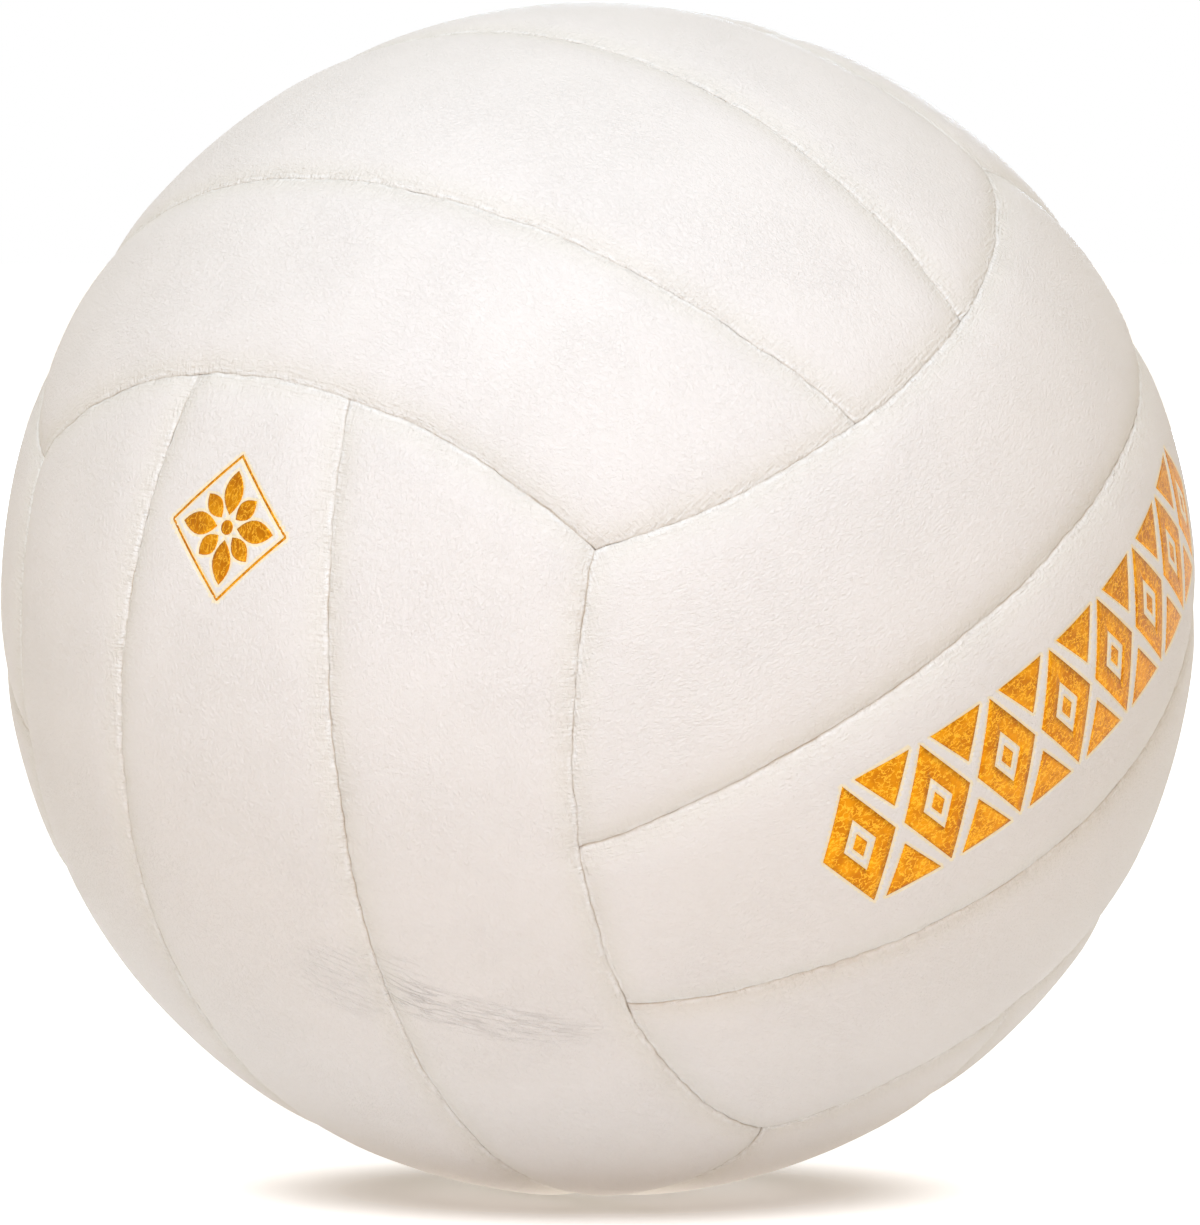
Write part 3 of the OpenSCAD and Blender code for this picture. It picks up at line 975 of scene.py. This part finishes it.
# Wrinkled places of the left group: strip, middle, half sizes along and across, and depth
WRINKLED = [
    (3, (41.0, -14.5), (27.0, 6.5), 0.72),
    (3, (27.0, -5.5), (11.0, 10.5), 0.5),
    (2, (19.0, -5.0), (13.0, 11.0), 0.5),
]
WRINKLE_TURN = 0.47
WRINKLE_SCALE = (0.12, 0.85, 1)
WRINKLE_RISE = 0.6
WRINKLE_CORE = 0.45

# The grain: how far it is bent, its scale across and along, and its heights
GRAIN_BEND = (2.5, 2.5, 0)
GRAIN_SCALE = (1.4, 0.85, 1)
PEBBLE_RISE = 0.24
GRAIN_CREASE = 0.035

# Ripples beside a seam: scale square to it, scale along it, reach and height
RIPPLES = ((0.25, 1.8, 5.0, 0.24), (2.1, 0.2, 4.0, 0.3))

# Noise textures: scale, detail, then roughness and distortion where they aren't the plain ones
PEBBLE_NOISE = (1.35, 4.0, 0.62, 0.2)
CREASE_NOISE = (0.85, 3.0, 0.55, 0.2)
PATCH_NOISE = (0.05, 2.0)
RIPPLE_NOISE = (1.0, 2.0)
CRINKLE_NOISE = (1.3, 3.0)
WRINKLE_NOISE = (1.0, 3.0, 0.5, 0.4)
CREAM_NOISE = (0.045, 3.0)
EDGE_HIGHLIGHT_NOISE = (0.25, 2.0)
SEAM_LINE_SHADE_NOISE = (0.09, 2.0)
GOLD_NOISE = (0.3, 3.0)
BLOOM_NOISE = (0.12, 2.0)
RUBBER_NOISE = (1.4, 4.0, 0.6)

# Ranges of a noise: from, to, and what they become where that isn't 0 and 1
CREASE_RANGE = (0.0, 0.05)
PATCH_RANGE = (0.36, 0.64, 0.9, 1.15)
RIDGE_RANGE = (0.0, 0.05, 0.16, 0.0)
EDGE_HIGHLIGHT_RANGE = (0.35, 0.62, 0.0, 0.65)
SEAM_LINE_SHADE_RANGE = (0.42, 0.62, 0.0, 0.75)
CLOUD_RANGE = (0.35, 0.65)
CELL_RANGE = (0.15, 0.7)

# Ranges of the distance from a seam, in millimetres, and of how deep the leather is pressed
CRINKLE_FADE = (0.0, 1.8, 0.5, 0.0)
# The painted shade beside the seams fades over this distance
SEAM_SHADE_FADE = (0.0, 6.0, 0.3, 0.0)
# Where the painted highlight along the seams' edges starts and fades
EDGE_HIGHLIGHT_START = (0.1, 0.35)
EDGE_HIGHLIGHT_FADE = (0.4, 1.1, 1.0, 0.0)
# The painted shade in the seam lines fades over this distance
SEAM_LINE_SHADE_FADE = (0.0, 0.26, 1.0, 0.0)
# The painted highlight on the pressed leather, by how deep it is pressed
PRESSED_HIGHLIGHT_FADE = (0.02, 0.5, 0.0, 0.85)

# Heights over the ball's centre between which the painted shade in the seam lines fades towards the
# brightly lit top, and how much of it is left there
SEAM_LINE_SHADE_HEIGHTS = (10.0, 60.0, 1.0, 0.3)


def grain(look, flat):
    """Height of the leather's grain in millimetres, and a value that is low along its creases."""
    clouds = look.node("ShaderNodeTexNoise", [("Vector", flat)], scale=0.06, detail=1.0)
    links = [(0, clouds.outputs["Color"]), (2, flat)]
    bent = look.node("ShaderNodeVectorMath", links, operation="MULTIPLY_ADD")
    bent.inputs[1].default_value = GRAIN_BEND
    place = look.mapped(bent.outputs[0], scale=GRAIN_SCALE)
    pebbles = look.times(look.swing(place, *PEBBLE_NOISE), PEBBLE_RISE)
    ridge = look.swing(place, *CREASE_NOISE)
    creases = look.spread(look.math("ABSOLUTE", ridge, 0), *CREASE_RANGE)
    patches = look.spread(look.noise(flat, *PATCH_NOISE), *PATCH_RANGE)
    height = look.plus(pebbles, look.times(creases, GRAIN_CREASE))
    return look.times(height, patches), creases


def ripples(look, flat, depths, height):
    """Adds the ripples beside the long seams, then those beside the ends."""
    for depth, order in zip(depths, (1, -1)):
        for square, along, reach, rise in RIPPLES:
            place = look.mapped(flat, scale=(square, along)[::order] + (1,))
            fade = look.spread(depth, 0.0, reach, rise, 0.0)
            height = look.plus(height, look.times(look.swing(place, *RIPPLE_NOISE), fade))
    return height


def wrinkles(look, flat, height):
    """Adds the wrinkles of the left group."""
    place = look.mapped(flat, WRINKLE_TURN, WRINKLE_SCALE)
    folds = look.swing(place, *WRINKLE_NOISE)
    ridges = look.spread(look.math("ABSOLUTE", folds, 0), *RIDGE_RANGE)
    folds = look.plus(look.times(folds, WRINKLE_RISE), ridges)
    for number, middle, sizes, rise in WRINKLED:
        moved = look.node("ShaderNodeVectorMath", [(0, flat)], operation="SUBTRACT")
        moved.inputs[1].default_value = (*middle, Strip("left", number).offset)
        inside = look.mapped(moved.outputs[0], WRINKLE_TURN, (1 / sizes[0], 1 / sizes[1], 1))
        away = look.node("ShaderNodeVectorMath", [(0, inside)], operation="LENGTH")
        share = look.spread(away.outputs["Value"], WRINKLE_CORE, 1.0, rise, 0.0)
        height = look.plus(height, look.times(folds, share))
    return height


def leather():
    """Cream synthetic leather: fine grain and creases, wrinkles at the seams, painted shade in and
    beside the seams, and painted highlights on their edges and round the foil.
    """
    look = Look("cream_leather", roughness=0.52, specular=0.3)
    flat = look.attribute("flat")
    sides, ends, pressed = look.node("ShaderNodeSeparateXYZ", [(0, look.attribute("seam"))]).outputs
    height, _ = grain(look, flat)
    height = ripples(look, flat, (sides, ends), height)
    nearest = look.math("MINIMUM", sides, ends)
    fade = look.spread(nearest, *CRINKLE_FADE)
    height = look.plus(height, look.times(look.swing(flat, *CRINKLE_NOISE), fade))
    height = wrinkles(look, flat, height)
    tone = look.mix(look.noise(flat, *CREAM_NOISE), *CREAM)
    # Painted shade: the leather turns darker and yellower towards the seams
    tone = look.mix(look.spread(nearest, *SEAM_SHADE_FADE), tone, SEAM_SHADE_TINT)
    # Painted highlight: a pale rim where the leather is pressed round the foil
    tone = look.mix(look.spread(pressed, *PRESSED_HIGHLIGHT_FADE), tone, PRESSED_HIGHLIGHT_TINT)
    # Painted highlight: a pale, broken line along the edges of the seams
    worn = look.times(look.spread(nearest, *EDGE_HIGHLIGHT_START), look.spread(nearest, *EDGE_HIGHLIGHT_FADE))
    worn = look.times(worn, look.spread(look.noise(flat, *EDGE_HIGHLIGHT_NOISE), *EDGE_HIGHLIGHT_RANGE))
    tone = look.mix(worn, tone, EDGE_HIGHLIGHT_TINT)
    # Painted shade: a darker, broken line in the seams, fading out towards the brightly lit top of
    # the ball
    seam_line_shade = look.spread(look.noise(flat, *SEAM_LINE_SHADE_NOISE), *SEAM_LINE_SHADE_RANGE)
    seam_line_shade = look.times(seam_line_shade, look.spread(nearest, *SEAM_LINE_SHADE_FADE))
    level = look.node("ShaderNodeSeparateXYZ", [(0, look.millimetres())]).outputs[2]
    seam_line_shade = look.times(seam_line_shade, look.spread(level, *SEAM_LINE_SHADE_HEIGHTS))
    return look.finish(look.mix(seam_line_shade, tone, SEAM_LINE_SHADE_TINT), height, depth_mm=1.0)


def gold():
    """Gold foil that shows the leather's grain, with painted highlights along its fine creases."""
    look = Look("gold_foil", roughness=0.42, metallic=0.8, specular=0.25)
    flat = look.attribute("flat")
    height, creases = grain(look, flat)
    tone = look.mix(look.spread(look.noise(flat, *GOLD_NOISE), *CLOUD_RANGE), *GOLD_TONES)
    # Painted highlight: the grain's creases turn bright gold
    return look.finish(look.mix(creases, GOLD_GLINT, tone), height, depth_mm=0.6)


def foam_look():
    """Pale yellow foam with open cells."""
    look = Look("foam", roughness=0.9)
    cells = look.node("ShaderNodeTexVoronoi", [("Vector", look.millimetres())], scale=1.6)
    cells = look.spread(cells.outputs["Distance"], *CELL_RANGE)
    return look.finish(look.mix(cells, *FOAM_TONES), cells, depth_mm=0.12)


def cloth():
    """Plain woven lining cloth."""
    look = Look("lining_cloth", roughness=0.85)
    place = look.millimetres()
    warp, weft = (look.wave(place, direction, scale=0.45, distortion=0.4) for direction in "XY")
    weave = look.times(warp, weft)
    return look.finish(look.mix(weave, *CLOTH_TONES), weave, depth_mm=0.1)


def thread():
    """Twisted cream sewing thread."""
    look = Look("thread", roughness=0.7)
    place = look.mapped(look.millimetres(), turn=0.7)
    twist = look.wave(place, "DIAGONAL", scale=1.3)
    return look.finish(look.mix(twist, *THREAD_TONES), twist, depth_mm=0.08)


def rubber(name, tones, roughness):
    """Moulded rubber with a faint bloom."""
    look = Look(name, roughness)
    place = look.millimetres()
    bloom = look.spread(look.noise(place, *BLOOM_NOISE), *CLOUD_RANGE)
    return look.finish(look.mix(bloom, *tones), look.noise(place, *RUBBER_NOISE), depth_mm=0.03)


def dress(piece, material):
    """Gives a new piece its material and the body that it rides on."""
    piece.data.materials.append(material)
    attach(piece, "root")


def repaint(node, material):
    """Gives a carried over node its material."""
    data = frame["nodes"][node].data
    data.materials.clear()
    data.materials.append(material)


LEATHER = leather()
GOLD = gold()
FOAM_LOOK = foam_look()
CLOTH = cloth()
THREAD = thread()
BLACK = rubber("bladder_rubber", BLACK_TONES, roughness=0.6)
PALE = rubber("valve_rubber", PALE_TONES, roughness=0.45)
CORE = rubber("core_rubber", CORE_TONES, roughness=0.4)

# Finer mesh under the ornaments, across and along: from, to and spacing, from the strip's middle
EVEN_MESH = ((), ())
FINER_MESH = {
    ("right", 2): ([(0, 14.4, 0.42)], [(0, 64.5, 0.5)]),
    ("left", 2): ([(0, 13.6, 0.38)], [(60.5, 87.7, 0.38)]),
}


def lines_of(strip, steps, finer):
    """Grid lines across and along a strip, for the largest spacings and the finer places."""
    return [spaced(*sizes) for sizes in zip(strip_lengths(strip), steps, finer)]


def cells_to(lines, length, distance):
    """How many cells of a grid lie between the middle and a distance from it."""
    return int(np.argmin(np.abs((lines[len(lines) // 2 :] - 0.5) * length - distance)))


def hole_blocks(strip, lines, bend):
    """The cells of the valve's opening, from the middle to the ring and to the end of the bend."""
    return [
        [cells_to(line, length, distance) for distance in (HOLE_CELLS, bend)]
        for line, length in zip(lines, strip_lengths(strip))
    ]


for group in GROUPS:
    for number in (1, 2, 3):
        strip = Strip(group, number)
        valve = group == VALVE_GROUP and number == 2
        fine = lines_of(strip, OUTER_STEPS, FINER_MESH.get((group, number), EVEN_MESH))
        coarse = lines_of(strip, INNER_STEPS, EVEN_MESH)
        blocks = hole_blocks(strip, fine, HOLE_BENDS[0]) if valve else None
        name = f"{group}_cover_{number}"
        faces = leather_top, leather_under
        cover = layer(name, strip, fine, *faces, GAP_HALF, flange=LINING_IN, blocks=blocks)
        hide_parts(f"{group}_panel_{number}")
        dress(cover, LEATHER)

        inset = GAP_HALF + SKIN + THREAD_ROOM
        blocks = hole_blocks(strip, coarse, HOLE_BENDS[1]) if valve else None
        name = f"{group}_cushion_{number}"
        cushion = layer(name, strip, coarse, foam_top, even(FOAM_IN), inset, blocks=blocks)
        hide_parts(f"{group}_foam_{number}")
        dress(cushion, FOAM_LOOK)

    thread_bits = stitches(f"{group}_stitches", group)
    dress(thread_bits, THREAD)
    repaint(f"{group}_stitching", THREAD)
    repaint(f"{group}_lining", CLOTH)

dress(foil("right_foil", Strip("right", 2)), GOLD)
dress(foil("left_foil", Strip("left", 2)), GOLD)

repaint("bladder", BLACK)
repaint("valve_housing", PALE)
repaint("valve_core", CORE)
repaint("valve_patch", CLOTH)

# The studio
CAMERA_FAR = 12.2 * BALL_R * MM
CAMERA_RISE = math.radians(5)
IMAGE_W = 1200
IMAGE_H = 1225
SENSOR = 36.0
FOCAL_PX = 7274
BALL_PX = (598.3, 599.9)
CLIP = (0.05, 200)


def camera():
    """The photo's long lens, a little above the ball's centre."""
    data = bpy.data.cameras.new("camera")
    data.sensor_width = SENSOR
    data.lens = FOCAL_PX * SENSOR / IMAGE_H
    data.shift_x = (IMAGE_W / 2 - BALL_PX[0]) / IMAGE_H
    data.shift_y = -(IMAGE_H / 2 - BALL_PX[1]) / IMAGE_H
    data.clip_start, data.clip_end = CLIP
    made = bpy.data.objects.new("camera", data)
    made.location = (0, -CAMERA_FAR * math.cos(CAMERA_RISE), CAMERA_FAR * math.sin(CAMERA_RISE))
    made.rotation_euler = (math.pi / 2 - CAMERA_RISE, 0, 0)
    bpy.context.scene.collection.objects.link(made)
    bpy.context.scene.camera = made


def softbox(name, place, size, power, colour):
    """A square studio light that faces the ball."""
    data = bpy.data.lights.new(name, "AREA")
    data.color = colour
    data.shape = "SQUARE"
    data.size = size
    data.energy = power
    made = bpy.data.objects.new(name, data)
    made.location = place
    towards = -np.array(place)
    made.rotation_euler = (
        math.acos(-towards[2] / np.linalg.norm(towards)),
        0,
        math.atan2(towards[1], towards[0]) - math.pi / 2,
    )
    bpy.context.scene.collection.objects.link(made)


def seen(tree):
    """A value that is one for the camera and for what gloss and glass show."""
    path = add_node(tree, "ShaderNodeLightPath").outputs
    total = path["Is Camera Ray"]
    for name in ("Is Glossy Ray", "Is Transmission Ray"):
        links = [(0, total), (1, path[name])]
        total = add_node(tree, "ShaderNodeMath", links, operation="MAXIMUM").outputs[0]
    return total


# The surround, and each light's name, place, size, power and colour
AMBIENT = (0.481, 0.382, 0.254, 1)
COOL = (0.60, 0.778, 0.995)
WARM = (1.0, 0.83, 0.90)
LIGHTS = (
    ("key_light", (-0.15, -1.06, 1.70), 1.1, 33.3, COOL),
    ("fill_light", (0, -2.0, 0.25), 1.2, 10.2, WARM),
    ("back_light", (0.15, 2.1, 0.16), 0.5, 16.0, COOL),
)


def world():
    """White to the eye, and an even soft light on the ball."""
    made = bpy.data.worlds.new("studio")
    made.use_nodes = True
    tree = made.node_tree
    background = tree.nodes["Background"]
    background.inputs["Strength"].default_value = 1.0
    blend = add_node(tree, "ShaderNodeMix", [(0, seen(tree))], data_type="RGBA")
    blend.inputs[6].default_value = AMBIENT
    blend.inputs[7].default_value = (1, 1, 1, 1)
    tree.links.new(blend.outputs[2], background.inputs["Color"])
    bpy.context.scene.world = made


# The floor: its glow as the camera sees it, dropping to none in a painted shadow round the
# contact, and a painted glow that throws light up to the ball though the floor is no lamp.
# Distances are in metres from the contact, shorter by the squash front to back.
FLOOR_R = 4.0
FLOOR_COLOUR = (0.87, 0.86, 0.85, 1)
SHADOW_SQUASH = 1.8
SHADOW_IN = 0.035
SHADOW_OUT = 0.079
OPEN_GLOW = 0.85
BOUNCE_IN = 0.03
BOUNCE_OUT = 0.085
BOUNCE = 0.50


def floor():
    """A white floor with a painted soft shadow near where the ball rests, over the lamps' own, and
    a painted glow there that lights the ball from below.
    """
    bpy.ops.mesh.primitive_circle_add(
        vertices=96, radius=FLOOR_R, fill_type="NGON", location=(0, 0, -BALL_R * MM)
    )
    made = bpy.context.object
    made.name = "floor"
    material = bpy.data.materials.new("white_floor")
    material.use_nodes = True
    tree = material.node_tree
    tree.nodes.clear()
    plain = tree.nodes.new("ShaderNodeBsdfDiffuse")
    plain.inputs["Color"].default_value = FLOOR_COLOUR
    place = add_node(tree, "ShaderNodeTexCoord").outputs["Object"]
    squash = add_node(tree, "ShaderNodeVectorMath", [(0, place)], operation="MULTIPLY")
    squash.inputs[1].default_value = (1, SHADOW_SQUASH, 1)
    away = add_node(tree, "ShaderNodeVectorMath", [(0, squash.outputs[0])], operation="LENGTH")
    blend = add_node(tree, "ShaderNodeMix", [(0, seen(tree))])
    # Painted light: a glow near the ball that lights its underside, and a painted shadow where the
    # camera's glow fades to none
    ranges = ((BOUNCE_IN, BOUNCE_OUT, BOUNCE, 0.0), (SHADOW_IN, SHADOW_OUT, 0.0, OPEN_GLOW))
    for socket, limits in zip(blend.inputs[2:4], ranges):
        tree.links.new(smooth_range(tree, away.outputs["Value"], limits), socket)
    glow = add_node(tree, "ShaderNodeEmission", [("Strength", blend.outputs[0])])
    both = add_node(tree, "ShaderNodeAddShader", [(0, plain.outputs[0]), (1, glow.outputs[0])])
    add_node(tree, "ShaderNodeOutputMaterial", [("Surface", both.outputs[0])])
    made.data.materials.append(material)


camera()
for light in LIGHTS:
    softbox(*light)
world()
floor()
bpy.context.scene.view_settings.view_transform = "Standard"
